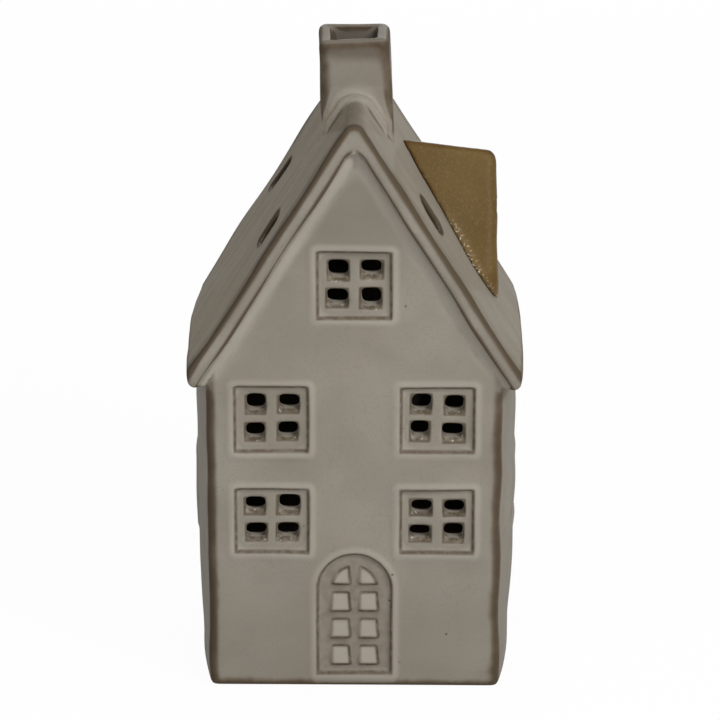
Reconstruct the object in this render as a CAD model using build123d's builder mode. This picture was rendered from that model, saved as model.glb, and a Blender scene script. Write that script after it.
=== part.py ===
from build123d import *
import os
from math import asin, cos, radians, sin, tan

# A glazed stoneware tealight house. Slabs and pressed pieces are luted together into one fired
# house, which stands over a loose tealight that goes in through an arch in the back wall.
# Millimetres. +Z is up, the front door faces -Y, and the origin is under the middle of the house.

os.makedirs("parts", exist_ok=True)

# Walls and floor
FACE_WIDTH = 93.0       # front and back faces, corner to corner
WALL = 6.0              # thickness of every wall
FLOOR = 6.0             # thickness of the floor slab
FOOT_SWELL = 3.8        # how far the side walls bow out at mid depth, at the foot
BELLY_SWELL = 5.3       # the same at the height of the belly
EAVE_SWELL = 4.6        # the same under the eaves
BELLY_HEIGHT = 58.0
CORNER_ROUND = 2.2      # upright corners of the front and back faces
FOOT_ROUND = 2.0        # bottom edge

# Roof
ROOF_WIDTH = 104.8      # eave to eave at the gables
ROOF_DEPTH = 86.0       # gable edge to gable edge
GABLE_OVERHANG = 3.0    # gable edge of the roof to the face of the wall
ROOF_PITCH = 58.3       # degrees
EAVE_BOW = 1.8          # how much further out the eaves are at mid depth
ROOF = 5.0              # slab thickness at the gables, which is the width of the bargeboard
RIDGE_HEIGHT = 194.5    # where the two slopes would meet if the ridge were sharp
RIDGE_ROUND = 3.6
FASCIA = 6.0            # upright face of the eave
EAVE_ROUND = 2.6
GABLE_ROUND = 1.2       # front and back edges of the roof
COVE = 3.4              # slip fillet under the bargeboards, measured on the wall
VALLEY_ROUND = 4.0      # slip that fills the valley under the ridge

# Chimney
CHIMNEY_WIDTH = 22.4
CHIMNEY_DEPTH = 23.2
CHIMNEY_WALL = 4.1
CHIMNEY_TOP = 15.1      # ridge up to the middle of its rim
CHIMNEY_LEAN = 2.7      # degrees, to the left
CHIMNEY_CORNER = 2.6
CHIMNEY_RIM = 2.4       # outer edge of the rim
FLUE_ROUND = 1.2        # corners and mouth of the flue
BEAD_WIDTH = 2.6        # bead of slip at the foot of the chimney, in front of it and behind it
BEAD_RISE = 2.4         # the same, above the roof
BEAD_ROUND = 7.0        # the same, over the ridge
BEAD_INSET = 1.4        # the same, short of the corners of the chimney

# Air slots in the roof, each placed by its distance from the gable edge and from the ridge line
SLOT_LENGTH = 11.5      # along the slope
SLOT_WIDTH = 8.0        # along the ridge
SLOT_ROUND = 2.5
LEFT_FRONT_SLOT = (21.0, 27.0)
LEFT_REAR_SLOT = (18.5, 24.8)
RIGHT_FRONT_SLOT = (20.0, 23.8)
RIGHT_REAR_SLOT = (16.0, 23.8)

# Windows, each a shallow panel in a raised rim with four pierced lights
PANEL_WIDTH = 23.4
PANEL_HEIGHT = 22.0
PANEL_DEPTH = 1.3
PANEL_ROUND = 1.2
RIM_WIDTH = 2.6         # raised rim around a window or the door
RIM_RISE = 0.45
RIM_SLOPE = 70.0        # degrees, lean of the rim's outer side
LIGHT_WIDTH = 6.8
LIGHT_HEIGHT = 6.4
LIGHT_ROUND = 1.7
LIGHT_DRAFT = 10.0      # degrees, the lights narrow towards the room
LIGHT_PITCH_X = 10.4
LIGHT_PITCH_Z = 9.4
WINDOW_OFFSET = 26.4    # house middle to the middle of a side window
LOW_WINDOW_HEIGHT = 58.3
MID_WINDOW_HEIGHT = 93.1
TOP_WINDOW_HEIGHT = 56.4    # ridge down to the middle of the top window

# Door pressed into the front wall
DOOR_WIDTH = 24.0
DOOR_HEIGHT = 42.0
DOOR_FOOT = 4.8
DOOR_DEPTH = 1.3
DOOR_STILE = 4.7        # from the edge of the door to the panes, at the sides and over the arch
DOOR_SILL = 3.2         # from the foot of the door to the lowest panes
MUNTIN_WIDTH = 3.5
MUNTIN_HEIGHT = 3.2
PANE_HEIGHT = 6.3
PANE_ROWS = 4           # a row with too little room under the arch is left out
PANE_LEAST = 3.0        # height of a pane that is still cut into the arch
PANE_RISE = 1.2         # how far the foot of a pane stands out of the door
PANE_SINK = 0.8         # how far its head lies under the door
PANE_DRAFT = 10.0       # degrees, lean of its sides

# Arch in the back wall, through which the tealight goes in
ARCH_WIDTH = 60.0       # at the floor
ARCH_HEIGHT = 18.5      # above the floor

# Gabled dormer on the right slope
DORMER_MIDDLE = 7.5     # along the ridge, behind the middle of the house
DORMER_FACE = 45.6      # house middle to the dormer's face
DORMER_RIDGE = 24.6     # ridge of the house down to the dormer's ridge, at the face
DORMER_FALL = 7.5       # degrees, ridge falling towards the face
DORMER_WALL = 4.2
DORMER_ROUND = 2.2      # ridge of the dormer
DORMER_FOOT_ROUND = 9.0 # feet of its gable
DORMER_FACE_ROUND = 3.4 # edges of its face
DORMER_PANEL_WIDTH = 17.0
DORMER_PANEL_HEIGHT = 16.4
DORMER_LIGHT = 5.0
DORMER_LIGHT_PITCH = 7.6
DORMER_WINDOW_DROP = 25.5   # dormer ridge down to the middle of its window

# Tealight
CUP_RADIUS = 19.0
CUP_HEIGHT = 13.0
CUP_WALL = 0.5
CUP_BEAD = 0.5          # how far the rolled rim stands out
WAX_HEIGHT = 10.5
WAX_GAP = 0.15
WICK_RADIUS = 0.8
WICK_RISE = 5.0         # wick above the wax
TAB_RADIUS = 6.0
TAB_THICKNESS = 0.4
TAB_NECK_RADIUS = 1.6
TAB_NECK_HEIGHT = 3.0
REST_GAP = 0.3          # cup above the floor, so that it slides

# Worked out from the sizes above
face_x = FACE_WIDTH / 2
roof_y = ROOF_DEPTH / 2
face_y = roof_y - GABLE_OVERHANG
room_y = face_y - WALL
pitch = radians(ROOF_PITCH)
under_ridge = RIDGE_HEIGHT - ROOF / cos(pitch)
eave_x = ROOF_WIDTH / 2
eave_top = RIDGE_HEIGHT - eave_x * tan(pitch)
soffit = eave_top - FASCIA
wall_top = eave_top + ROOF
chimney_top = RIDGE_HEIGHT + CHIMNEY_TOP
top_window = RIDGE_HEIGHT - TOP_WINDOW_HEIGHT
dormer_ridge = RIDGE_HEIGHT - DORMER_RIDGE
reach = 2 * max(ROOF_WIDTH, ROOF_DEPTH, chimney_top)
rim_width = PANEL_WIDTH + 2 * RIM_WIDTH
rim_height = PANEL_HEIGHT + 2 * RIM_WIDTH
rim_round = PANEL_ROUND + RIM_WIDTH
chimney_seat = Plane(Location((0, 0, RIDGE_HEIGHT), (0, -CHIMNEY_LEAN, 0)))
down_slope = Vector(cos(pitch), 0, -sin(pitch))
out_of_slope = Vector(sin(pitch), 0, cos(pitch))


def house_plan(half_width, swell):
    """Draws the outline of the walls seen from above: straight gable ends and bowed sides."""
    Line((-half_width, -face_y), (half_width, -face_y))
    ThreePointArc((half_width, -face_y), (half_width + swell, 0), (half_width, face_y))
    Line((half_width, face_y), (-half_width, face_y))
    ThreePointArc((-half_width, face_y), (-half_width - swell, 0), (-half_width, -face_y))


def lofted_walls(half_width, corner):
    """Lofts the bowed walls from the foot past the eaves, and goes on up to the ridge."""
    sections = []
    for height, swell in ((0, FOOT_SWELL), (BELLY_HEIGHT, BELLY_SWELL), (wall_top, EAVE_SWELL)):
        with BuildSketch(Plane.XY.offset(height)) as section:
            with BuildLine():
                house_plan(half_width, swell)
            make_face()
            fillet(vertices(), corner)
        sections.append(section.sketch)
    loft(sections)
    extrude(sections[-1], amount=RIDGE_HEIGHT - wall_top)


def gable_section(depth, bow):
    """Gives the outside of the roof in the upright plane at depth, its eaves moved out by bow."""
    with BuildSketch(Plane.XZ.offset(-depth)) as section:
        with BuildLine():
            Polyline(
                (-eave_x - bow, soffit),
                (eave_x + bow, soffit),
                (eave_x + bow, eave_top),
                (0, RIDGE_HEIGHT),
                (-eave_x - bow, eave_top),
                close=True,
            )
        make_face()
        fillet(vertices().sort_by(Axis.Y)[-1], RIDGE_ROUND)
        fillet(vertices().sort_by(Axis.Y)[:4], EAVE_ROUND)
    return section.sketch


def slot_plane(side, depth, out):
    """Gives the plane of a roof slot, its X axis along the ridge and its Z axis out of the slope."""
    centre = (side * out, depth, RIDGE_HEIGHT - out * tan(pitch))
    normal = (side * out_of_slope.X, 0, out_of_slope.Z)
    return Plane(origin=centre, x_dir=(0, 1, 0), z_dir=normal)


# Everything inside the outer faces of the walls
with BuildPart() as wall_block:
    lofted_walls(face_x, CORNER_ROUND)
    fillet(faces().sort_by(Axis.Z)[0].edges(), FOOT_ROUND)

# Everything inside the inner faces of the side walls
with BuildPart() as room_block:
    lofted_walls(face_x - WALL, CORNER_ROUND)

# Everything below the underside of the roof
with BuildPart() as under_roof:
    with BuildSketch(Plane.XZ):
        with BuildLine():
            Polyline(
                (0, under_ridge),
                (reach, under_ridge - reach * tan(pitch)),
                (-reach, under_ridge - reach * tan(pitch)),
                close=True,
            )
        make_face()
        fillet(vertices().sort_by(Axis.Y)[-1], VALLEY_ROUND)
    extrude(amount=reach, both=True)

# Everything inside the outer face of the roof
with BuildPart() as roof_block:
    loft([gable_section(-roof_y, 0), gable_section(0, EAVE_BOW), gable_section(roof_y, 0)])
    gable_edges = edges().filter_by(lambda e: abs(abs(e.center().Y) - roof_y) < 0.01)
    fillet(gable_edges, GABLE_ROUND)

# The room between the front and back walls, from the ground up
with BuildPart() as middle_block:
    Box(reach, 2 * room_y, reach)

# Flue, open from the chimney top into the roof space
with BuildPart() as flue:
    with BuildSketch(chimney_seat):
        RectangleRounded(
            CHIMNEY_WIDTH - 2 * CHIMNEY_WALL,
            CHIMNEY_DEPTH - 2 * CHIMNEY_WALL,
            FLUE_ROUND,
        )
    extrude(amount=chimney_top - under_ridge + CHIMNEY_WIDTH, both=True)

# Outside and inside of the dormer, as prisms that lean down towards its face
dormer_fall = radians(DORMER_FALL)
dormer_plane = Plane(
    origin=(DORMER_FACE, DORMER_MIDDLE, dormer_ridge),
    x_dir=(0, 1, 0),
    z_dir=(cos(dormer_fall), 0, -sin(dormer_fall)),
)


def dormer_prism(inset):
    """Extrudes the dormer's gable outline, moved in by inset, from its face back into the roof."""
    drop = inset / cos(pitch)
    depth = DORMER_FACE * tan(pitch) - DORMER_RIDGE - inset
    with BuildSketch(dormer_plane) as outline:
        with BuildLine():
            Polyline(
                (0, -drop),
                ((depth - drop) / tan(pitch), -depth),
                (-(depth - drop) / tan(pitch), -depth),
                close=True,
            )
        make_face()
        fillet(vertices().sort_by(Axis.Y)[-1], DORMER_ROUND)
        fillet(vertices().sort_by(Axis.Y)[:2], DORMER_FOOT_ROUND - inset)
    extrude(outline.sketch, amount=DORMER_FACE, both=True)
    split(bisect_by=Plane.YZ.offset(DORMER_FACE - inset), keep=Keep.BOTTOM)


with BuildPart() as dormer_outside:
    dormer_prism(0)
    face_edges = faces().sort_by(Axis.X)[-1].edges()
    fillet(face_edges, DORMER_FACE_ROUND)

with BuildPart() as dormer_inside:
    dormer_prism(DORMER_WALL)

# Front wall, with five pierced windows and the door
door_spring = DOOR_FOOT + DOOR_HEIGHT - DOOR_WIDTH / 2
pane_foot = DOOR_FOOT + DOOR_SILL
pane_room = DOOR_HEIGHT - DOOR_SILL - DOOR_STILE
pane_rows = min(PANE_ROWS, 1 + int((pane_room - PANE_LEAST) / (PANE_HEIGHT + MUNTIN_HEIGHT)))
pane_lean = asin((PANE_RISE + PANE_SINK) / PANE_HEIGHT)


def door_outline(grow):
    """Draws the door's arched outline, made larger by grow on every side."""
    with Locations((0, door_spring)):
        Circle(DOOR_WIDTH / 2 + grow)
    with Locations((0, DOOR_FOOT - grow)):
        Rectangle(
            DOOR_WIDTH + 2 * grow,
            door_spring - DOOR_FOOT + grow,
            align=(Align.CENTER, Align.MIN),
        )


with BuildPart() as front_wall:
    add(wall_block.part)
    add(under_roof.part, mode=Mode.INTERSECT)
    split(bisect_by=Plane.XZ.offset(room_y), keep=Keep.TOP)
    front = Plane.XZ.offset(face_y)
    windows = [(0, top_window)]
    for side in (-1, 1):
        windows.append((side * WINDOW_OFFSET, MID_WINDOW_HEIGHT))
        windows.append((side * WINDOW_OFFSET, LOW_WINDOW_HEIGHT))
    for window in windows:
        with BuildSketch(front):
            with Locations(window):
                RectangleRounded(rim_width, rim_height, rim_round)
        extrude(amount=RIM_RISE, taper=RIM_SLOPE)
    with BuildSketch(front):
        door_outline(RIM_WIDTH)
    extrude(amount=RIM_RISE, taper=RIM_SLOPE)
    with BuildSketch(front.offset(-PANEL_DEPTH)):
        with Locations(*windows):
            RectangleRounded(PANEL_WIDTH, PANEL_HEIGHT, PANEL_ROUND)
    extrude(amount=PANEL_DEPTH + RIM_RISE, mode=Mode.SUBTRACT)
    with BuildSketch(front.offset(-PANEL_DEPTH)):
        with Locations(*windows):
            with GridLocations(LIGHT_PITCH_X, LIGHT_PITCH_Z, 2, 2):
                RectangleRounded(LIGHT_WIDTH, LIGHT_HEIGHT, LIGHT_ROUND)
    extrude(amount=-WALL, taper=LIGHT_DRAFT, mode=Mode.SUBTRACT)
    with BuildSketch(front.offset(-DOOR_DEPTH)):
        door_outline(0)
    extrude(amount=DOOR_DEPTH + RIM_RISE, mode=Mode.SUBTRACT)
    for row in range(pane_rows):
        row_foot = pane_foot + row * (PANE_HEIGHT + MUNTIN_HEIGHT)
        row_plane = Plane(
            origin=(0, DOOR_DEPTH - face_y - PANE_RISE, row_foot),
            x_dir=(1, 0, 0),
            z_dir=(0, -cos(pane_lean), sin(pane_lean)),
        )
        with BuildSketch(row_plane) as panes:
            with Locations((0, PANE_HEIGHT / 2)):
                Rectangle(DOOR_WIDTH - 2 * DOOR_STILE, PANE_HEIGHT)
                Rectangle(MUNTIN_WIDTH, PANE_HEIGHT, mode=Mode.SUBTRACT)
            if row_foot > door_spring:
                with Locations((0, door_spring - row_foot)):
                    Circle(DOOR_WIDTH / 2 - DOOR_STILE, mode=Mode.INTERSECT)
        extrude(panes.sketch, amount=DOOR_DEPTH, mode=Mode.SUBTRACT)
        extrude(panes.sketch, amount=-2 * PANE_RISE, taper=-PANE_DRAFT)
front_wall.part.label = "front_wall"
export_step(front_wall.part, "parts/front_wall.step")

# Back wall, with the arch for the tealight
with BuildPart() as back_wall:
    add(wall_block.part)
    add(under_roof.part, mode=Mode.INTERSECT)
    split(bisect_by=Plane.XZ.offset(-room_y), keep=Keep.BOTTOM)
    with BuildSketch(Plane.XZ.offset(-room_y)):
        with Locations((0, FLOOR)):
            Ellipse(ARCH_WIDTH / 2, ARCH_HEIGHT)
            Rectangle(ARCH_WIDTH, ARCH_HEIGHT, align=(Align.CENTER, Align.MAX), mode=Mode.SUBTRACT)
    extrude(amount=-WALL, mode=Mode.SUBTRACT)
back_wall.part.label = "back_wall"
export_step(back_wall.part, "parts/back_wall.step")

# Rim and panel of the window in each side wall, which follow its bow
with BuildPart() as side_rim:
    lofted_walls(face_x + RIM_RISE, CORNER_ROUND)
    with BuildSketch(Plane.YZ) as rim_outline:
        with Locations((0, LOW_WINDOW_HEIGHT)):
            RectangleRounded(rim_width, rim_height, rim_round)
    extrude(rim_outline.sketch, amount=-reach, mode=Mode.INTERSECT)

with BuildPart() as inside_panel:
    lofted_walls(face_x - PANEL_DEPTH, CORNER_ROUND)

with BuildPart() as side_panel:
    with BuildSketch(Plane.YZ):
        with Locations((0, LOW_WINDOW_HEIGHT)):
            RectangleRounded(PANEL_WIDTH, PANEL_HEIGHT, PANEL_ROUND)
    extrude(amount=-reach)
    add(inside_panel.part, mode=Mode.SUBTRACT)

# Bowed side walls, between the front and back walls
with BuildPart() as left_wall:
    add(wall_block.part)
    add(side_rim.part)
    add(room_block.part, mode=Mode.SUBTRACT)
    add(middle_block.part, mode=Mode.INTERSECT)
    add(under_roof.part, mode=Mode.INTERSECT)
    split(bisect_by=Plane.YZ, keep=Keep.BOTTOM)
    add(side_panel.part, mode=Mode.SUBTRACT)
    with BuildSketch(Plane.YZ.offset(PANEL_DEPTH - face_x - BELLY_SWELL)):
        with Locations((0, LOW_WINDOW_HEIGHT)):
            with GridLocations(LIGHT_PITCH_X, LIGHT_PITCH_Z, 2, 2):
                RectangleRounded(LIGHT_WIDTH, LIGHT_HEIGHT, LIGHT_ROUND)
    extrude(amount=WALL, taper=LIGHT_DRAFT, mode=Mode.SUBTRACT)
left_wall.part.label = "left_wall"
export_step(left_wall.part, "parts/left_wall.step")

with BuildPart() as right_wall:
    add(left_wall.part)
    mirror(about=Plane.YZ, mode=Mode.REPLACE)
right_wall.part.label = "right_wall"
export_step(right_wall.part, "parts/right_wall.step")

# Floor slab, inside the four walls
with BuildPart() as floor_slab:
    add(room_block.part)
    add(middle_block.part, mode=Mode.INTERSECT)
    split(bisect_by=Plane.XY.offset(FLOOR), keep=Keep.BOTTOM)
floor_slab.part.label = "floor_slab"
export_step(floor_slab.part, "parts/floor_slab.step")


def roof_slab(side, front_slot, rear_slot):
    """Makes one roof slab, with its coves under the gable edges, the flue notch and the air slots."""
    add(roof_block.part)
    add(under_roof.part, mode=Mode.SUBTRACT)
    slope = Vector(side * down_slope.X, 0, down_slope.Z)
    inward = Vector(-side * out_of_slope.X, 0, -out_of_slope.Z)
    for end in (-1, 1):
        foot = Vector(0, end * face_y, under_ridge)
        cove_plane = Plane(origin=foot, x_dir=(0, end, 0), z_dir=slope)
        drop = cove_plane.to_local_coords(foot + inward * COVE)
        with BuildSketch(cove_plane) as cove:
            with BuildLine():
                Polyline((0, 0), (GABLE_OVERHANG - GABLE_ROUND, 0), (drop.X, drop.Y), close=True)
            make_face()
        extrude(cove.sketch, amount=ROOF_WIDTH, both=True)
    split(bisect_by=Plane.XY.offset(soffit), keep=Keep.TOP)
    split(bisect_by=Plane.YZ, keep=Keep.TOP if side > 0 else Keep.BOTTOM)
    add(flue.part, mode=Mode.SUBTRACT)
    for end, (inset, out) in ((-1, front_slot), (1, rear_slot)):
        with BuildSketch(slot_plane(side, end * (roof_y - inset), out)) as slot:
            RectangleRounded(SLOT_WIDTH, SLOT_LENGTH, SLOT_ROUND)
        extrude(slot.sketch, amount=2 * ROOF, both=True, mode=Mode.SUBTRACT)


with BuildPart() as left_roof:
    roof_slab(-1, LEFT_FRONT_SLOT, LEFT_REAR_SLOT)
left_roof.part.label = "left_roof"
export_step(left_roof.part, "parts/left_roof.step")

with BuildPart() as right_roof:
    roof_slab(1, RIGHT_FRONT_SLOT, RIGHT_REAR_SLOT)
    add(dormer_inside.part, mode=Mode.SUBTRACT)
right_roof.part.label = "right_roof"
export_step(right_roof.part, "parts/right_roof.step")

# Bead of slip that lutes the chimney to the roof
bead_ridge = RIDGE_HEIGHT + BEAD_RISE / cos(pitch)
with BuildPart() as chimney_bead:
    with BuildSketch(Plane.XZ):
        with BuildLine():
            Polyline(
                (0, bead_ridge),
                (eave_x, bead_ridge - eave_x * tan(pitch)),
                (-eave_x, bead_ridge - eave_x * tan(pitch)),
                close=True,
            )
        make_face()
        fillet(vertices().sort_by(Axis.Y)[-1], BEAD_ROUND)
    extrude(amount=CHIMNEY_DEPTH / 2 + BEAD_WIDTH, both=True)
    Box(CHIMNEY_WIDTH - 2 * BEAD_INSET, ROOF_DEPTH, 2 * bead_ridge, mode=Mode.INTERSECT)

# Chimney, sitting astride the ridge
with BuildPart() as chimney:
    with BuildSketch(chimney_seat) as tube:
        RectangleRounded(CHIMNEY_WIDTH, CHIMNEY_DEPTH, CHIMNEY_CORNER)
    extrude(tube.sketch, amount=CHIMNEY_TOP)
    extrude(tube.sketch, amount=eave_top - RIDGE_HEIGHT)
    fillet(faces().filter_by(GeomType.PLANE).sort_by(Axis.Z)[-1].edges(), CHIMNEY_RIM)
    add(flue.part, mode=Mode.SUBTRACT)
    rim = faces().filter_by(GeomType.PLANE).sort_by(Axis.Z)[-1]
    fillet(rim.inner_wires()[0].edges(), FLUE_ROUND)
    add(chimney_bead.part)
    add(flue.part, mode=Mode.SUBTRACT)
    add(roof_block.part, mode=Mode.SUBTRACT)
chimney.part.label = "chimney"
export_step(chimney.part, "parts/chimney.step")

# Dormer, cut to sit on the right slope, with a small window in its face
with BuildPart() as dormer:
    add(dormer_outside.part)
    add(dormer_inside.part, mode=Mode.SUBTRACT)
    add(roof_block.part, mode=Mode.SUBTRACT)
    dormer_front = Plane(
        origin=(DORMER_FACE, DORMER_MIDDLE, dormer_ridge - DORMER_WINDOW_DROP),
        x_dir=(0, 1, 0),
        z_dir=(1, 0, 0),
    )
    with BuildSketch(dormer_front):
        RectangleRounded(DORMER_PANEL_WIDTH, DORMER_PANEL_HEIGHT, PANEL_ROUND)
    extrude(amount=-PANEL_DEPTH, mode=Mode.SUBTRACT)
    with BuildSketch(dormer_front):
        with GridLocations(DORMER_LIGHT_PITCH, DORMER_LIGHT_PITCH, 2, 2):
            RectangleRounded(DORMER_LIGHT, DORMER_LIGHT, LIGHT_ROUND)
    extrude(amount=-DORMER_WALL, mode=Mode.SUBTRACT)
dormer.part.label = "dormer"
export_step(dormer.part, "parts/dormer.step")

# Tealight: pressed aluminium cup, wax, wick and the tab that holds the wick upright
cup_foot = FLOOR + REST_GAP
cup_inside = CUP_RADIUS - CUP_WALL
wax_foot = cup_foot + CUP_WALL
wax_top = wax_foot + WAX_HEIGHT

with BuildPart() as tealight_cup:
    with BuildSketch(Plane.XZ):
        with BuildLine():
            Polyline(
                (0, cup_foot),
                (CUP_RADIUS, cup_foot),
                (CUP_RADIUS, cup_foot + CUP_HEIGHT - 2 * CUP_BEAD),
                (CUP_RADIUS + CUP_BEAD, cup_foot + CUP_HEIGHT - 2 * CUP_BEAD),
                (CUP_RADIUS + CUP_BEAD, cup_foot + CUP_HEIGHT),
                (cup_inside, cup_foot + CUP_HEIGHT),
                (cup_inside, wax_foot),
                (0, wax_foot),
                close=True,
            )
        make_face()
    revolve(axis=Axis.Z)
tealight_cup.part.label = "tealight_cup"
export_step(tealight_cup.part, "parts/tealight_cup.step")

with BuildPart() as wick_tab:
    with Locations((0, 0, wax_foot)):
        Cylinder(TAB_RADIUS, TAB_THICKNESS, align=(Align.CENTER, Align.CENTER, Align.MIN))
        Cylinder(TAB_NECK_RADIUS, TAB_NECK_HEIGHT, align=(Align.CENTER, Align.CENTER, Align.MIN))
    with Locations((0, 0, wax_foot + TAB_THICKNESS)):
        Cylinder(
            WICK_RADIUS,
            TAB_NECK_HEIGHT,
            align=(Align.CENTER, Align.CENTER, Align.MIN),
            mode=Mode.SUBTRACT,
        )
wick_tab.part.label = "wick_tab"
export_step(wick_tab.part, "parts/wick_tab.step")

with BuildPart() as tealight_wick:
    with Locations((0, 0, wax_foot + TAB_THICKNESS)):
        Cylinder(
            WICK_RADIUS,
            wax_top + WICK_RISE - wax_foot - TAB_THICKNESS,
            align=(Align.CENTER, Align.CENTER, Align.MIN),
        )
tealight_wick.part.label = "tealight_wick"
export_step(tealight_wick.part, "parts/tealight_wick.step")

with BuildPart() as tealight_wax:
    with Locations((0, 0, wax_foot)):
        Cylinder(cup_inside - WAX_GAP, WAX_HEIGHT, align=(Align.CENTER, Align.CENTER, Align.MIN))
    add(wick_tab.part, mode=Mode.SUBTRACT)
    add(tealight_wick.part, mode=Mode.SUBTRACT)
tealight_wax.part.label = "tealight_wax"
export_step(tealight_wax.part, "parts/tealight_wax.step")
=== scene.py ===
from math import cos, radians, sin, tan

import bmesh
import bpy
import numpy as np
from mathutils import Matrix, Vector


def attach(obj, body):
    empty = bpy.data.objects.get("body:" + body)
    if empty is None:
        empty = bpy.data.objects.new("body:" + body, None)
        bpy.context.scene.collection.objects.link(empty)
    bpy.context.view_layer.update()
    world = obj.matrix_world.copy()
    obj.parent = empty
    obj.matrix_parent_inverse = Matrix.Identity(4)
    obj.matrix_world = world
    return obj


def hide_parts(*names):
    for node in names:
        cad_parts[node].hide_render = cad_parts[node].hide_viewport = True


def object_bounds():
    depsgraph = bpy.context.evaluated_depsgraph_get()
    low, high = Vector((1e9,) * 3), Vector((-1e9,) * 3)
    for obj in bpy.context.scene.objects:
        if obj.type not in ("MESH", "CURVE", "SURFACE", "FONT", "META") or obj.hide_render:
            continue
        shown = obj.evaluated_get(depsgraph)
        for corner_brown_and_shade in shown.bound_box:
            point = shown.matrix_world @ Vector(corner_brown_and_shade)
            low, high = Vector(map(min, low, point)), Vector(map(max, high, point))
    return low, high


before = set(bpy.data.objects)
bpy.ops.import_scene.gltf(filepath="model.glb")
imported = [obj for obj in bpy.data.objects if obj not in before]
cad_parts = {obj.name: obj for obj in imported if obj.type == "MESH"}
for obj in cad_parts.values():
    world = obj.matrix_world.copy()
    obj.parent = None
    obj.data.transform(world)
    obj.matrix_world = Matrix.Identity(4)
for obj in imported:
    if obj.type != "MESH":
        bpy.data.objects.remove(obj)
cad_low, cad_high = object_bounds()
scene = bpy.context.scene
scene.view_settings.view_transform = "Standard"

# The glaze runs over the slabs as one soft skin, so the slabs are first made into one mesh.
# The skin is then cut back into one piece for each slab.
SLABS = (
    "front_wall", "back_wall", "left_wall", "right_wall",
    "floor_slab", "left_roof", "right_roof", "chimney",
)
VOXEL = 0.0006

# Sizes that the skin is cut back by, in millimetres, as they are in the solids
PITCH = radians(58.3)
RIDGE = 194.5
ROOF = 5
UNDER_RIDGE = RIDGE - ROOF / cos(PITCH)
RIDGE_ROUND = 3.6
ROOF_Y = 43
FACE_X = 46.5
FACE_Y = 40
ROOM_Y = 34
ROOM_X = 40.5
FLOOR = 6
VALLEY = 4
CHIMNEY_X, CHIMNEY_Y = 12, 13.8
CHIMNEY_TOP = 209.6
FLUE_MIDDLE = -0.5
FLUE_X, FLUE_Y = 7.7, 8.1            # half sizes of the flue and its round mouth
BEAD_Y = 13
SLOT = (4, 5.75)                    # half sizes of a roof slot
SLOTS = ((-27, -22), (-24.8, 24.5), (23.8, -23), (23.8, 27))
WINDOWS = ((26.4, 58.3), (26.4, 93.1), (0, 138.1))      # the first two on both sides
SIDE_WINDOW = (0, 58.3)
WALL_BOW = 3.8
PANEL = (11.7, 11)                  # half sizes of a window
LIGHT, LIGHT_AWAY = (3.4, 3.2), (5.2, 4.7)
DOOR, DOOR_SPRING, DOOR_FOOT = 12, 34.8, 4.8
PANE, PANE_AWAY, PANE_ARCH = (2.65, 2.85), 4.5, 7.1
PANE_FEET = (8, 17.5, 27, 36.5)
FAR = 9.0                           # outlines further away than this don't matter
MELT = 0.0006                       # how far the glaze softens corners, in metres


def linked(name, data):
    """A new object in the scene."""
    obj = bpy.data.objects.new(name, data)
    scene.collection.objects.link(obj)
    return obj


def voxel_skin(nodes):
    """One closed, evenly meshed skin around several CAD nodes."""
    source = bmesh.new()
    for node in nodes:
        source.from_mesh(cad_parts[node].data)
    mesh = bpy.data.meshes.new("skin_source")
    source.to_mesh(mesh)
    source.free()
    obj = linked("skin_source", mesh)
    remesh = obj.modifiers.new("Voxels", "REMESH")
    remesh.mode = "VOXEL"
    remesh.voxel_size = VOXEL
    depsgraph = bpy.context.evaluated_depsgraph_get()
    skin = bpy.data.meshes.new_from_object(obj.evaluated_get(depsgraph))
    bpy.data.objects.remove(obj)
    bpy.data.meshes.remove(mesh)
    return skin


def read(collection, name, width, kind=np.float64):
    """An attribute of every element of a mesh collection as an array."""
    flat = np.empty(len(collection) * width, kind)
    collection.foreach_get(name, flat)
    return flat.reshape(-1, width) if width > 1 else flat


def relaxed(points, edges, reach):
    """Points moved towards their neighbours until corners are softened over about reach metres."""
    count = len(points)
    first, second = edges[:, 0], edges[:, 1]
    degree = np.bincount(first, minlength=count) + np.bincount(second, minlength=count)
    rounds = max(1, round(4 * (reach / VOXEL) ** 2))
    points = points.copy()
    for _ in range(rounds):
        for axis in range(points.shape[1]):
            line = points[:, axis]
            total = np.bincount(first, line[second], count) + np.bincount(second, line[first], count)
            points[:, axis] += 0.5 * (total / degree - line)
    return points


def wobble(points):
    """Moves points by a slow random swell, as hand-pressed clay has, with the foot left flat."""
    chance = np.random.default_rng(11)
    moved = np.zeros_like(points)
    for _ in range(14):
        wave = chance.normal(size=3)
        wave *= 2 * np.pi / chance.uniform(0.012, 0.045) / np.linalg.norm(wave)
        push = chance.normal(size=3) * 0.00009
        moved += np.sin(points @ wave + chance.uniform(0, 6.28))[:, None] * push
    return points + moved * np.clip(points[:, 2:] / 0.006, 0, 1)


def soften(mesh, reach):
    """Rounds every corner of a skin, and stores how far each point stands out of or lies under
    the surface around it, in millimetres, at a fine and at a broad scale."""
    edges = read(mesh.edges, "vertices", 2, np.int32)
    points = relaxed(read(mesh.vertices, "co", 3), edges, reach)
    points = np.clip(wobble(points), np.array(cad_low), np.array(cad_high))
    mesh.vertices.foreach_set("co", points.astype(np.float32).ravel())
    mesh.update()
    normals = read(mesh.vertex_normals, "vector", 3)
    stores = {}
    for name, scale in (("fine_relief", 0.0008), ("broad_relief", 0.003)):
        around = relaxed(points, edges, scale)
        relief = ((points - around) * normals).sum(1, keepdims=True) * 1000
        stores[name] = relaxed(relief, edges, 0.0005).ravel()
    return points, normals, stores


def box_gap(u, v, half):
    """Distance to the outline of a rectangle around nought, negative inside."""
    du, dv = abs(u) - half[0], abs(v) - half[1]
    return np.hypot(np.maximum(du, 0), np.maximum(dv, 0)) + np.minimum(np.maximum(du, dv), 0)


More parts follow.
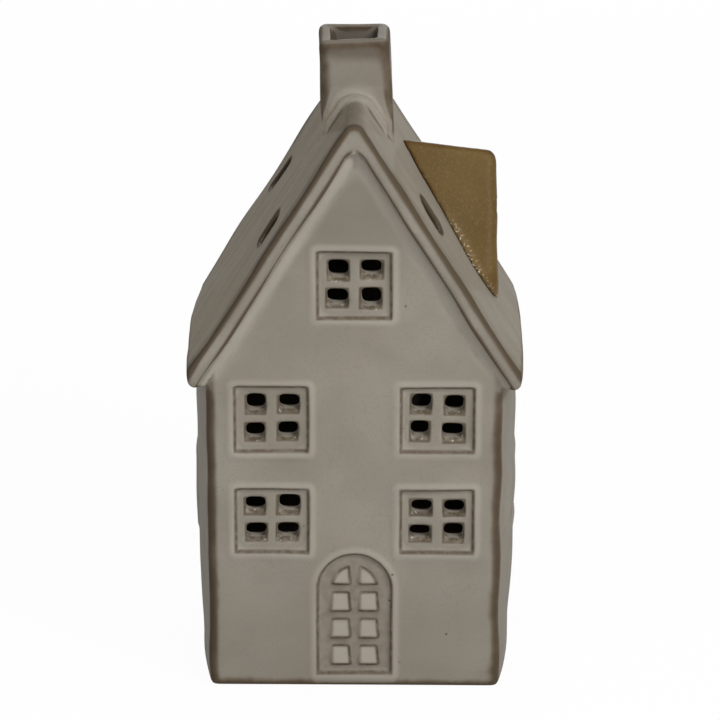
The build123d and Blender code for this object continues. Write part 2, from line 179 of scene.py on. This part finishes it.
def step(value, low, high):
    """A smooth step from 0 to 1 as value goes from low to high."""
    share = np.clip((value - low) / (high - low), 0, 1)
    return share * share * (3 - 2 * share)


def above_slope(x, z, ridge, rounding):
    """Distance above a pair of roof slopes that meet in a rounded ridge."""
    up = z - ridge + rounding / cos(PITCH)
    flat = (z - ridge + abs(x) * tan(PITCH)) * cos(PITCH)
    return np.where(abs(x) < up * tan(PITCH), np.hypot(x, up) - rounding, flat)


def above_soffit(x, z):
    """Distance above the underside of the roof, which is round under the ridge."""
    return above_slope(x, z, UNDER_RIDGE, VALLEY)


def edge_masks(points, normals):
    """Shares of each point in the bands of the glaze that are laid out one by one: the coves, partly
    painted light, the corners of the walls, partly painted shade, the slots, painted dark as shade,
    the slopes, partly painted light, the parts painted darker as shade, and the places that the
    brown of the edges leaves out."""
    x, y, z = (points * 1000).T
    over = above_slope(x, z, RIDGE, RIDGE_ROUND)
    gable = abs(y) > FACE_Y - 0.6
    board = gable * step(-over, 0.9, 2.0) * step(-over, 4.7, 3.9)
    cove = gable * step(-over, 5.2, 6.2) * step(-over, 10.0, 7.2)
    bead = step(over, 0.5, 1.0) * step(over, 4.4, 3.6)
    bead = bead * (abs(x) < CHIMNEY_X) * (abs(abs(y) - BEAD_Y) < 2.4)
    rim = step(normals[:, 2], 0.5, 0.85) * (z > CHIMNEY_TOP - 5) * 0.75
    # Brown wall corners, darker on the left: glaze break, with painted shade on the side away from
    # the light
    corner_brown_and_shade = step(np.hypot(abs(x) - FACE_X + 0.6, abs(y) - FACE_Y + 0.6), 2.4, 0.7)
    corner_brown_and_shade *= (above_soffit(x, z) < -2) * np.where(x < 0, 1, 0.48) * step(z, 0.5, 3)
    # Painted shade inside the roof slots and, more lightly, on the flue's inside walls
    slot = np.zeros(len(points))
    for out, deep in SLOTS:
        here = np.sign(x) == np.sign(out)
        along = (abs(x) - abs(out)) * cos(PITCH) - (z - RIDGE + abs(out) * tan(PITCH)) * sin(PITCH)
        slot = np.maximum(slot, here * step(box_gap(y - deep, along, SLOT), 0.5, 0.0))
    slot *= step(-over, 0.0, 0.5)
    flue = (abs(x - FLUE_MIDDLE) < FLUE_X) & (abs(y) < FLUE_Y) & (z > RIDGE) & (normals[:, 2] < 0.6)
    slot = np.maximum(slot, 0.45 * flue)
    collar = step(z, CHIMNEY_TOP - 8, CHIMNEY_TOP - 4) * step(normals[:, 2], 0.6, 0.2) * ~flue
    slope = step(over, -1, -0.4) * step(abs(normals[:, 0]), 0.4, 0.7)
    # Brown verges, darker on the left: glaze break, with painted shade on the side away from the
    # light
    verge = slope * step(ROOF_Y - abs(y), 10, 1) * np.where(x < 0, 0.75, 0.35)
    corner_brown_and_shade = np.maximum.reduce((corner_brown_and_shade, 0.6 * collar, verge))
    ridge = 0.65 * step(abs(x), 5, 3) * step(over, -1.2, -0.5)
    ridge = ridge * step(ROOF_Y - abs(y), 1, 3) * (over < 0.6)
    spared = np.maximum.reduce((0.85 * board, cove, bead, rim, ridge))
    # Painted shade: darker low on the walls, under the gable apex and on the chimney
    peak_shade = 0.55 * step(z, 132, 164) * step(-over, 6, 10)
    painted_shade = np.maximum.reduce((0.3 * step(z, 58, 22), peak_shade, 0.3 * (z > RIDGE)))
    return {
        "spared": spared,
        # Painted light: the coves are paler on the left, lit side
        "cove": cove * np.where(x < 0, 1, 0.6),
        "corner_brown_and_shade": corner_brown_and_shade,
        "slot": slot,
        # Painted light: the slope colour is strongest on the left slope
        "slope": slope * np.where(x < 0, 1, 0.3),
        "painted_shade": painted_shade,
    }


def uneven(points):
    """Moves and stretches each light of the front windows a little, as pierced by hand, and lets
    its sill rise towards the room."""
    chance = np.random.default_rng(5)
    x, y, z = (points * 1000).T
    moved = np.zeros_like(points)
    for across, up in WINDOWS:
        for side in ((-1, 1) if across else (1,)):
            for column in (-1, 1):
                for row in (-1, 1):
                    u = x - side * across - column * LIGHT_AWAY[0]
                    v = z - up - row * LIGHT_AWAY[1]
                    share = step(box_gap(u, v, LIGHT), 1.5, 0.1) * (y < 1 - ROOM_Y)
                    deep = step(y, 1.3 - FACE_Y, -ROOM_Y)
                    shift, stretch = chance.uniform(-0.4, 0.4, 2), chance.uniform(-0.09, 0.09, 2)
                    sideways = shift[0] + (stretch[0] + 0.14 * deep) * u + 0.08 * shift[1] * v
                    upward = shift[1] + stretch[1] * v + 0.8 * deep * step(v, 1, -2.5)
                    moved[:, 0] += share * sideways
                    moved[:, 2] += share * upward
    return points + moved / 1000


def outlines(points, normals):
    """Distances in millimetres to the nearest outline of a window, a light, the door and a pane,
    which points are sills or inside the room, and how dark the painted shadow around the pane is
    there."""
    x, y, z = (points * 1000).T
    ahead = y < 3.5 - FACE_Y
    aside = (abs(x) > ROOM_X + 3) & (abs(y) < ROOM_Y)
    panel, light, pane = (np.full(len(points), FAR) for _ in range(3))
    views = [(ahead, abs(x) - across, z - up) for across, up in WINDOWS]
    views.append((aside, y - SIDE_WINDOW[0], z - SIDE_WINDOW[1]))
    for here, u, v in views:
        panel = np.where(here, np.minimum(panel, box_gap(u, v, PANEL)), panel)
        gap = box_gap(abs(u) - LIGHT_AWAY[0], abs(v) - LIGHT_AWAY[1], LIGHT)
        light = np.where(here, np.minimum(light, gap), light)
    upright = (DOOR_SPRING + DOOR_FOOT) / 2
    below_spring = box_gap(x, z - upright, (DOOR, DOOR_SPRING - upright))
    door = np.minimum(np.hypot(x, z - DOOR_SPRING) - DOOR, below_spring)
    door = np.where(ahead, np.minimum(door, FAR), FAR)
    shade = np.zeros(len(points))
    for foot in PANE_FEET:
        u, v = (abs(x) - PANE_AWAY) / PANE[0], (z - foot - PANE[1]) / PANE[1]
        gap = box_gap(u * PANE[0] * (1 + 0.1 * v), v * PANE[1], PANE)
        # Painted shadow around the panes: strongest on the right side and below, weakest on the left
        beside = np.where(u * x > 0, 1, 0.3)
        around = np.where(abs(u) > abs(v), beside, np.where(v > 0, 0.85, 1))
        shade = np.where(gap < pane, around, shade)
        if foot > DOOR_SPRING:
            gap = np.maximum(gap, np.hypot(x, z - DOOR_SPRING) - PANE_ARCH)
        pane = np.where(ahead, np.minimum(pane, gap), pane)
    sill = (light < 0.6) & (normals[:, 2] > 0.3) & (y > 1.6 - FACE_Y)
    room = (abs(x) < ROOM_X + 5.6) & (abs(y) < ROOM_Y + 0.8) & (z > FLOOR - 1)
    room &= above_soffit(x, z) < 0.8
    room &= (normals * points)[:, :2].sum(1) < 0.3 * np.hypot(points[:, 0], points[:, 1])
    return {
        "panel_edge": panel,
        "light_edge": light,
        "door_edge": door,
        "pane_edge": pane,
        "sill": sill.astype(float),
        "room": room.astype(float),
        "pane_shade": shade,
    }


def zone_of(points):
    """The slab that each point of the skin belongs to, as an index in SLABS."""
    x, y, z = (points * 1000).T
    above_roof = (z - RIDGE + abs(x) * tan(PITCH)) * cos(PITCH)
    above_under = above_soffit(x, z)
    bow = WALL_BOW * (1 - (y / FACE_Y) ** 2)
    zone = np.where(x < 0, SLABS.index("left_wall"), SLABS.index("right_wall"))
    zone[y < 1 - ROOM_Y] = SLABS.index("front_wall")
    zone[y > ROOM_Y - 1] = SLABS.index("back_wall")
    on_floor = (z < FLOOR + 1.2) & (abs(y) < ROOM_Y + 1.2) & (abs(x) < ROOM_X + bow + 1.5)
    zone[on_floor] = SLABS.index("floor_slab")
    zone[(above_under > -1) & (x < 0)] = SLABS.index("left_roof")
    zone[(above_under > -1) & (x >= 0)] = SLABS.index("right_roof")
    on_top = (above_roof > 0.9) & (abs(x) < CHIMNEY_X + 1) & (abs(y) < CHIMNEY_Y + 1)
    zone[on_top] = SLABS.index("chimney")
    return zone


def rims_of(quads, inside, count):
    """The closed rims of the part of a mesh that is inside, each a list of its vertices in turn.
    Also tells which vertices more than one rim meets in."""
    start = quads.ravel()
    end = np.roll(quads, -1, axis=1).ravel()
    owner = np.repeat(inside, 4)
    key = start.astype(np.int64) * count + end
    order = np.argsort(key)
    twin = order[np.searchsorted(key[order], end.astype(np.int64) * count + start)]
    rim = owner & ~owner[twin]
    follow = {}
    pinched = set()
    for a, b in zip(start[rim].tolist(), end[rim].tolist()):
        if a in follow:
            pinched.add(a)
        follow[a] = b
    rims = []
    while follow and not pinched:
        first, at = follow.popitem()
        loop = [first]
        while at != first:
            loop.append(at)
            at = follow.pop(at)
        rims.append(loop)
    return rims, pinched


def stitched(points, one, other):
    """Triangles that close the band between two rims of one piece, by the shortest rungs."""
    one, other = np.array(one), np.array(other)[::-1]
    gaps = np.linalg.norm(points[one][:, None] - points[other][None], axis=2)
    first, second = np.unravel_index(gaps.argmin(), gaps.shape)
    gaps = np.roll(gaps, (-first, -second), (0, 1))
    gaps = np.pad(gaps, ((0, 1), (0, 1)), "wrap")
    one = np.append(np.roll(one, -first), one[first])
    other = np.append(np.roll(other, -second), other[second])
    # Each diagonal of the table of rungs follows from the one before it
    rows, columns = gaps.shape
    by_one = np.zeros(gaps.shape, bool)
    best = np.full(rows + 1, np.inf)
    best[1] = 0
    for diagonal in range(1, rows + columns - 1):
        i = np.arange(max(0, diagonal - columns + 1), min(diagonal, rows - 1) + 1)
        over, along = best[i], best[i + 1]
        by_one[i, diagonal - i] = over <= along
        latest = np.full(rows + 1, np.inf)
        latest[i + 1] = np.minimum(over, along) + gaps[i, diagonal - i]
        best = latest
    faces = []
    i, j = rows - 1, columns - 1
    while i or j:
        if by_one[i, j]:
            faces.append((one[i], one[i - 1], other[j]))
            i -= 1
        else:
            faces.append((one[i], other[j - 1], other[j]))
            j -= 1
    return faces


def cut_back(mesh, points, normals, stores):
    """Cuts the skin into one closed piece for each slab, with the shading kept across the cuts."""
    count = len(points)
    quads = read(mesh.loops, "vertex_index", 1, np.int32).reshape(-1, 4)
    zone = zone_of(points[quads].mean(1))
    for _ in range(8):
        pinched = set()
        for index in range(len(SLABS)):
            pinched |= rims_of(quads, zone == index, count)[1]
        if not pinched:
            break
        for face in np.nonzero(np.isin(quads, list(pinched)).any(1))[0]:
            around = np.isin(quads, quads[face]).any(1)
            zone[face] = np.bincount(zone[around]).argmax()
    pieces = {}
    for index, slab in enumerate(SLABS):
        own = quads[zone == index]
        rims, _ = rims_of(quads, zone == index, count)
        rims.sort(key=len, reverse=True)
        caps = stitched(points, *rims[:2]) if len(rims) > 1 else []
        used = np.unique(own)
        place = np.full(count, -1)
        place[used] = np.arange(len(used))
        piece = bpy.data.meshes.new(slab + "_skin")
        piece.from_pydata(
            points[used].tolist(), [],
            place[own].tolist() + [tuple(place[list(face)].tolist()) for face in caps],
        )
        pieces[slab] = finished(piece, normals[used], {k: v[used] for k, v in stores.items()})
    return pieces


def finished(mesh, normals, stores):
    """Gives a mesh its smooth shading and its stored numbers."""
    mesh.polygons.foreach_set("use_smooth", np.ones(len(mesh.polygons), bool))
    mesh.normals_split_custom_set_from_vertices(normals.tolist())
    for name, values in stores.items():
        attribute = mesh.attributes.new(name, "FLOAT", "POINT")
        attribute.data.foreach_set("value", values.astype(np.float32))
    return mesh


# Materials


class Shader:
    """A small helper that builds one material's node tree."""

    def __init__(self, name):
        self.material = bpy.data.materials.new(name)
        self.material.use_nodes = True
        self.nodes = self.material.node_tree.nodes
        self.links = self.material.node_tree.links
        self.bsdf = self.nodes["Principled BSDF"]
        self.place = self.nodes.new("ShaderNodeTexCoord").outputs["Object"]

    def feed(self, socket, value):
        """Links a socket, or sets a plain number or colour."""
        if isinstance(value, bpy.types.NodeSocket):
            self.links.new(value, socket)
        else:
            socket.default_value = value

    def noise(self, size, detail=3.0, roughness=0.5, distortion=0.0, stretch=(1, 1, 1)):
        """Noise from 0 to 1 with features of about size metres."""
        node = self.nodes.new("ShaderNodeTexNoise")
        node.inputs["Scale"].default_value = 1 / size
        node.inputs["Detail"].default_value = detail
        node.inputs["Roughness"].default_value = roughness
        node.inputs["Distortion"].default_value = distortion
        mapping = self.nodes.new("ShaderNodeMapping")
        mapping.inputs["Scale"].default_value = stretch
        self.links.new(self.place, mapping.inputs["Vector"])
        self.links.new(mapping.outputs["Vector"], node.inputs["Vector"])
        return node.outputs["Fac"]

    def cells(self, size):
        """Distance to the nearest of scattered points, which lie about size metres apart."""
        node = self.nodes.new("ShaderNodeTexVoronoi")
        node.inputs["Scale"].default_value = 1 / size
        self.links.new(self.place, node.inputs["Vector"])
        return node.outputs["Distance"]

    def math(self, operation, first, second=0.0):
        """One sum, product or other operation on numbers."""
        node = self.nodes.new("ShaderNodeMath")
        node.operation = operation
        self.feed(node.inputs[0], first)
        self.feed(node.inputs[1], second)
        return node.outputs[0]

    def ramp(self, value, low, high, start=0.0, end=1.0):
        """A smooth step of value between low and high."""
        node = self.nodes.new("ShaderNodeMapRange")
        node.interpolation_type = "SMOOTHSTEP"
        self.feed(node.inputs["Value"], value)
        node.inputs["From Min"].default_value = low
        node.inputs["From Max"].default_value = high
        node.inputs["To Min"].default_value = start
        node.inputs["To Max"].default_value = end
        return node.outputs["Result"]

    def mix(self, share, first, second):
        """A mix of two colours."""
        node = self.nodes.new("ShaderNodeMix")
        node.data_type = "RGBA"
        self.feed(node.inputs["Factor"], share)
        self.feed(node.inputs[6], (*first, 1) if isinstance(first, tuple) else first)
        self.feed(node.inputs[7], (*second, 1) if isinstance(second, tuple) else second)
        return node.outputs[2]

    def stored(self, name):
        """A number stored on the mesh."""
        node = self.nodes.new("ShaderNodeAttribute")
        node.attribute_name = name
        return node.outputs["Fac"]

    def bump(self, height, distance):
        """A normal that follows height, which spans distance metres."""
        node = self.nodes.new("ShaderNodeBump")
        node.inputs["Strength"].default_value = 1.0
        node.inputs["Distance"].default_value = distance
        self.feed(node.inputs["Height"], height)
        return node.outputs["Normal"]


def grey_glaze():
    """Pooled grey glaze that breaks brown where it runs thin over an edge."""
    s = Shader("grey_glaze")
    cloud = s.noise(0.03, 4, 0.55, 0.4)
    tint = s.noise(0.013, 3, 0.5)
    streak = s.noise(0.006, 2, 0.4, stretch=(0.22, 1, 0.22))
    grain = s.noise(0.0008, 2, 0.6)
    colour = s.mix(s.ramp(cloud, 0.35, 0.68), (0.219, 0.2, 0.166), (0.252, 0.231, 0.193))
    colour = s.mix(s.ramp(tint, 0.45, 0.7, 0, 0.3), colour, (0.262, 0.226, 0.197))
    # Roof slopes paler and warmer, the left slope most: partly glaze tone and partly painted light
    colour = s.mix(s.math("MULTIPLY", s.stored("slope"), 0.8), colour, (0.298, 0.258, 0.192))
    brushed = s.math("ADD", s.math("MULTIPLY", s.stored("slope"), 0.15), 0.22)
    brushed = s.math("MULTIPLY", s.ramp(streak, 0.35, 0.75), brushed)
    colour = s.mix(brushed, colour, (0.19, 0.155, 0.11))
    # Painted shade: darker low on the walls, under the gable apex and on the chimney
    colour = s.mix(s.stored("painted_shade"), colour, (0.158, 0.141, 0.115))
    colour = s.mix(s.ramp(grain, 0.5, 0.78, 0, 0.4), colour, (0.165, 0.148, 0.12))
    wander = s.math("MULTIPLY", s.math("SUBTRACT", s.noise(0.005, 3), 0.5), 0.065)
    fine = s.math("ADD", s.stored("fine_relief"), wander)
    broad = s.stored("broad_relief")
    outlined = ("panel", "door", "pane", "light")
    panel, door, pane, light = (s.stored(name + "_edge") for name in outlined)
    frame_gap = s.math("MINIMUM", panel, door)
    unspared = s.math("SUBTRACT", 1.0, s.stored("spared"))
    plain_wall = s.math("MULTIPLY", s.ramp(frame_gap, 2.2, 3.6), unspared)
    # Pooled pale in the hollows; pale rims around the frames and pale gable coves, partly pooled
    # glaze and partly painted light, the left coves most; brown shoulders and dark lines on large
    # edges
    colour = s.mix(s.ramp(broad, -0.12, -0.5, 0, 0.3), colour, (0.33, 0.306, 0.262))
    rim = s.math("MULTIPLY", s.ramp(frame_gap, 0.1, 0.9), s.ramp(frame_gap, 1.2, 3.2, 0.4, 0))
    rim = s.math("MAXIMUM", rim, s.math("MULTIPLY", s.stored("cove"), 0.5))
    colour = s.mix(rim, colour, (0.36, 0.335, 0.29))
    large = s.math("MULTIPLY", plain_wall, s.ramp(broad, 0.1, 0.45))
    shoulder = s.math("MULTIPLY", large, s.ramp(fine, -0.005, 0.05, 0, 0.75))
    colour = s.mix(shoulder, colour, (0.122, 0.094, 0.066))
    thin = s.math("MULTIPLY", large, s.ramp(fine, 0.03, 0.085, 0, 0.85))
    colour = s.mix(thin, colour, (0.066, 0.047, 0.028))
    # Brown corners, verges and collar: glaze break, with painted shade darkening the left ones
    corner_brown_and_shade = s.math("MULTIPLY", s.stored("corner_brown_and_shade"), s.ramp(s.noise(0.009, 3), 0.3, 0.6, 0.55, 0.95))
    colour = s.mix(corner_brown_and_shade, colour, (0.064, 0.047, 0.03))
    # Painted shade in the creases
    crease_shade = s.math("MULTIPLY", plain_wall, s.ramp(fine, -0.03, -0.1, 0, 0.75))
    colour = s.mix(crease_shade, colour, (0.09, 0.071, 0.05))
    # The door's field is darker, its panes are pale
    field = s.math("MULTIPLY", s.ramp(door, 0.0, -0.8, 0, 0.55), s.ramp(pane, 0.1, 0.6))
    mottle = s.ramp(s.noise(0.003, 2), 0.35, 0.65)
    colour = s.mix(field, colour, s.mix(mottle, (0.15, 0.126, 0.1), (0.2, 0.174, 0.143)))
    colour = s.mix(s.ramp(pane, 0.0, -0.9, 0, 0.75), colour, (0.305, 0.28, 0.24))
    # Soft broken lines along the outlines: brown glaze with painted shade in the steps, and painted
    # shadow around the panes, strongest on their right and below them
    stroke = s.ramp(s.noise(0.0025, 3, 0.6), 0.3, 0.62, 0.5, 0.95)
    edge_line = s.ramp(s.math("ABSOLUTE", s.math("ADD", frame_gap, 0.15)), 0.8, 0.1)
    colour = s.mix(s.math("MULTIPLY", stroke, edge_line), colour, (0.1, 0.077, 0.054))
    pane_line = s.ramp(s.math("ABSOLUTE", s.math("SUBTRACT", pane, 0.3)), 0.75, 0.15)
    pane_line = s.math("MULTIPLY", pane_line, s.stored("pane_shade"))
    colour = s.mix(s.math("MULTIPLY", stroke, pane_line), colour, (0.07, 0.053, 0.036))
    # Lights with brown jambs, darkened partly as painted shade, sills painted pale as lit from
    # above, and the room behind them painted dark as shade
    colour = s.mix(s.ramp(light, 0.6, -0.1, 0, 0.7), colour, (0.1, 0.078, 0.054))
    runs = s.ramp(s.noise(0.0022, 3, 0.6), 0.35, 0.65)
    sill = s.mix(runs, (0.135, 0.11, 0.076), (0.29, 0.262, 0.21))
    # Painted highlight: white glints on the sills
    sill = s.mix(s.ramp(s.noise(0.0013, 2), 0.64, 0.7), sill, (0.72, 0.7, 0.64))
    colour = s.mix(s.math("MULTIPLY", s.stored("sill"), 0.9), colour, sill)
    light_line = s.ramp(s.math("ABSOLUTE", s.math("ADD", light, 0.1)), 0.7, 0.1, 0, 0.75)
    colour = s.mix(s.math("MULTIPLY", stroke, light_line), colour, (0.088, 0.066, 0.044))
    # Painted shade: the roof slots, the flue's inside walls and the room are darkened
    colour = s.mix(s.math("MULTIPLY", s.stored("slot"), 0.95), colour, (0.04, 0.028, 0.016))
    colour = s.mix(s.math("MULTIPLY", s.stored("room"), 0.95), colour, (0.05, 0.042, 0.032))
    # Scattered pinholes
    patch = s.ramp(s.noise(0.03, 2), 0.58, 0.62)
    pinhole = s.math("MULTIPLY", s.ramp(s.cells(0.011), 0.05, 0.03), patch)
    colour = s.mix(s.math("MULTIPLY", pinhole, 0.8), colour, (0.06, 0.045, 0.03))
    s.feed(s.bsdf.inputs["Base Color"], colour)
    s.feed(s.bsdf.inputs["Roughness"], s.ramp(s.noise(0.004, 3), 0.3, 0.7, 0.34, 0.46))
    s.bsdf.inputs["Specular IOR Level"].default_value = 0.0
    s.bsdf.inputs["Coat Weight"].default_value = 0.08
    s.bsdf.inputs["Coat Roughness"].default_value = 0.06
    s.feed(s.bsdf.inputs["Normal"], s.bump(s.noise(0.016, 1), 0.0003))
    return s.material


def ochre_glaze():
    """Satin ochre glaze with a fine grain, brown edges, and a painted sheen and painted glints along
    the lower join.
    """
    s = Shader("ochre_glaze")
    cloud = s.noise(0.02, 4, 0.55, 0.3)
    grain = s.noise(0.0008, 2, 0.6)
    colour = s.mix(s.ramp(cloud, 0.3, 0.7), (0.093, 0.056, 0.0135), (0.115, 0.071, 0.018))
    colour = s.mix(s.ramp(grain, 0.48, 0.75, 0, 0.45), colour, (0.165, 0.108, 0.04))
    wander = s.math("MULTIPLY", s.math("SUBTRACT", s.noise(0.006, 3), 0.5), 0.08)
    edge = s.math("ADD", s.stored("fine_relief"), wander)
    colour = s.mix(s.ramp(edge, 0.03, 0.14, 0, 0.75), colour, (0.066, 0.03, 0.008))
    # Painted sheen and painted glints along the lower join with the roof
    low = s.stored("join_sheen")
    join_glints = s.ramp(s.noise(0.0009, 2, 0.6), 0.56, 0.66)
    join_glints = s.math("MULTIPLY", join_glints, s.ramp(low, 0.25, 0.9))
    colour = s.mix(s.ramp(low, 0.0, 0.9, 0, 0.5), colour, (0.2, 0.135, 0.058))
    colour = s.mix(s.math("MULTIPLY", join_glints, 0.85), colour, (0.62, 0.56, 0.44))
    colour = s.mix(s.stored("seam"), colour, (0.06, 0.034, 0.014))
    s.feed(s.bsdf.inputs["Base Color"], colour)
    s.bsdf.inputs["Roughness"].default_value = 0.5
    s.bsdf.inputs["Specular IOR Level"].default_value = 0.12
    s.feed(s.bsdf.inputs["Normal"], s.bump(s.noise(0.0011, 2), 0.0001))
    return s.material


def plain(name, colour, roughness, metallic=0.0):
    """A material of one colour."""
    s = Shader(name)
    s.bsdf.inputs["Base Color"].default_value = (*colour, 1)
    s.bsdf.inputs["Roughness"].default_value = roughness
    s.bsdf.inputs["Metallic"].default_value = metallic
    return s.material


def dress(name, mesh, node, material):
    """Shows a mesh in place of a CAD node of the house."""
    piece = linked(name, mesh)
    mesh.materials.clear()
    mesh.materials.append(material)
    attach(piece, "house")
    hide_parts(node)


glaze = grey_glaze()
clay = plain("bare_clay", (0.36, 0.27, 0.18), 0.8)
skin = voxel_skin(SLABS)
points, normals, stores = soften(skin, MELT)
stores.update(outlines(points, normals))
stores.update(edge_masks(points, normals))
for slab, mesh in cut_back(skin, uneven(points), normals, stores).items():
    look, slot = (clay, "bare_clay") if slab == "floor_slab" else (glaze, "grey_glaze")
    dress(slab + "_glazed", mesh, slab, look)
bpy.data.meshes.remove(skin)
hood = voxel_skin(("dormer",))
points, normals, stores = soften(hood, MELT)
x, y, z = (points * 1000).T
over = above_slope(x, z, RIDGE, RIDGE_ROUND)
# Where the painted sheen and glints lie along the lower join
stores["join_sheen"] = step(over, 5.5, 0.8) * step(z, 166, 138)
stores["seam"] = 0.8 * step(over, 1.2, 0.4)
dress("dormer_glazed", finished(hood, normals, stores), "dormer", ochre_glaze())

for node, look in (
    ("tealight_cup", plain("cup_aluminium", (0.8, 0.8, 0.81), 0.3, 1.0)),
    ("tealight_wax", plain("white_wax", (0.85, 0.83, 0.76), 0.45)),
    ("tealight_wick", plain("wick_cotton", (0.72, 0.69, 0.6), 0.9)),
    ("wick_tab", plain("tab_steel", (0.55, 0.55, 0.56), 0.35, 1.0)),
):
    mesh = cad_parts[node].data
    mesh.materials.clear()
    mesh.materials.append(look)

# Camera, at the photograph's viewing angle
TARGET = Vector((0, 0, 0.105))
ELEVATION = radians(20.01)
AZIMUTH = radians(0.74)
DISTANCE = 1.27056
back = Vector((
    sin(AZIMUTH) * cos(ELEVATION),
    -cos(AZIMUTH) * cos(ELEVATION),
    sin(ELEVATION),
))
camera = linked("camera", bpy.data.cameras.new("camera"))
camera.location = TARGET + back * DISTANCE
camera.rotation_euler = (-back).to_track_quat("-Z", "Y").to_euler()
camera.data.sensor_width = 36
camera.data.lens = 195.05
camera.data.shift_x = 0.0056
camera.data.shift_y = -0.0256
scene.camera = camera

# Floor and light
bpy.ops.mesh.primitive_plane_add(size=6)
ground = bpy.context.object
ground.name = "ground"


def seen_white(tree, output, lit, share):
    """Shows white to the camera, mirrors and glass in place of a share of the lit surface."""
    nodes, links = tree.nodes, tree.links
    path = nodes.new("ShaderNodeLightPath")
    seen = path.outputs["Is Camera Ray"]
    for ray in ("Is Glossy Ray", "Is Transmission Ray"):
        either = nodes.new("ShaderNodeMath")
        either.operation = "MAXIMUM"
        links.new(seen, either.inputs[0])
        links.new(path.outputs[ray], either.inputs[1])
        seen = either.outputs[0]
    scaled = nodes.new("ShaderNodeMath")
    scaled.operation = "MULTIPLY"
    scaled.inputs[1].default_value = share
    links.new(seen, scaled.inputs[0])
    mix = nodes.new("ShaderNodeMixShader")
    links.new(scaled.outputs[0], mix.inputs["Fac"])
    links.new(lit, mix.inputs[1])
    on_material = output.type == "OUTPUT_MATERIAL"
    white = nodes.new("ShaderNodeEmission" if on_material else "ShaderNodeBackground")
    white.inputs["Color"].default_value = (1, 1, 1, 1)
    white.inputs["Strength"].default_value = 1
    links.new(white.outputs[0], mix.inputs[2])
    links.new(mix.outputs[0], output.inputs["Surface"])


pale = plain("pale_floor", (0.82, 0.82, 0.82), 0.8)
ground.data.materials.append(pale)
tree = pale.node_tree
seen_white(tree, tree.nodes["Material Output"], tree.nodes["Principled BSDF"].outputs[0], 0.96)

world = bpy.data.worlds.new("studio")
scene.world = world
world.use_nodes = True
tree = world.node_tree
dim = tree.nodes["Background"]
dim.inputs["Color"].default_value = (1, 1, 1, 1)
dim.inputs["Strength"].default_value = 0.28
seen_white(tree, tree.nodes["World Output"], dim.outputs[0], 1.0)


def lamp(name, azimuth, elevation, distance, size, power):
    """A square soft light aimed at the house, placed as the camera is."""
    light = bpy.data.lights.new(name, "AREA")
    light.energy = power
    light.size = size
    obj = linked(name, light)
    a, e = radians(azimuth), radians(elevation)
    away = Vector((sin(a) * cos(e), -cos(a) * cos(e), sin(e)))
    obj.location = TARGET + away * distance
    obj.rotation_euler = (-away).to_track_quat("-Z", "Y").to_euler()


lamp("key", 42, 40, 1.6, 0.55, 18.4)
lamp("fill", -24, 30, 1.5, 1.0, 5.2)
lamp("rear", 180, 12, 1.6, 0.8, 8)
lamp("spark", 25, 50, 1.3, 0.03, 1.3)
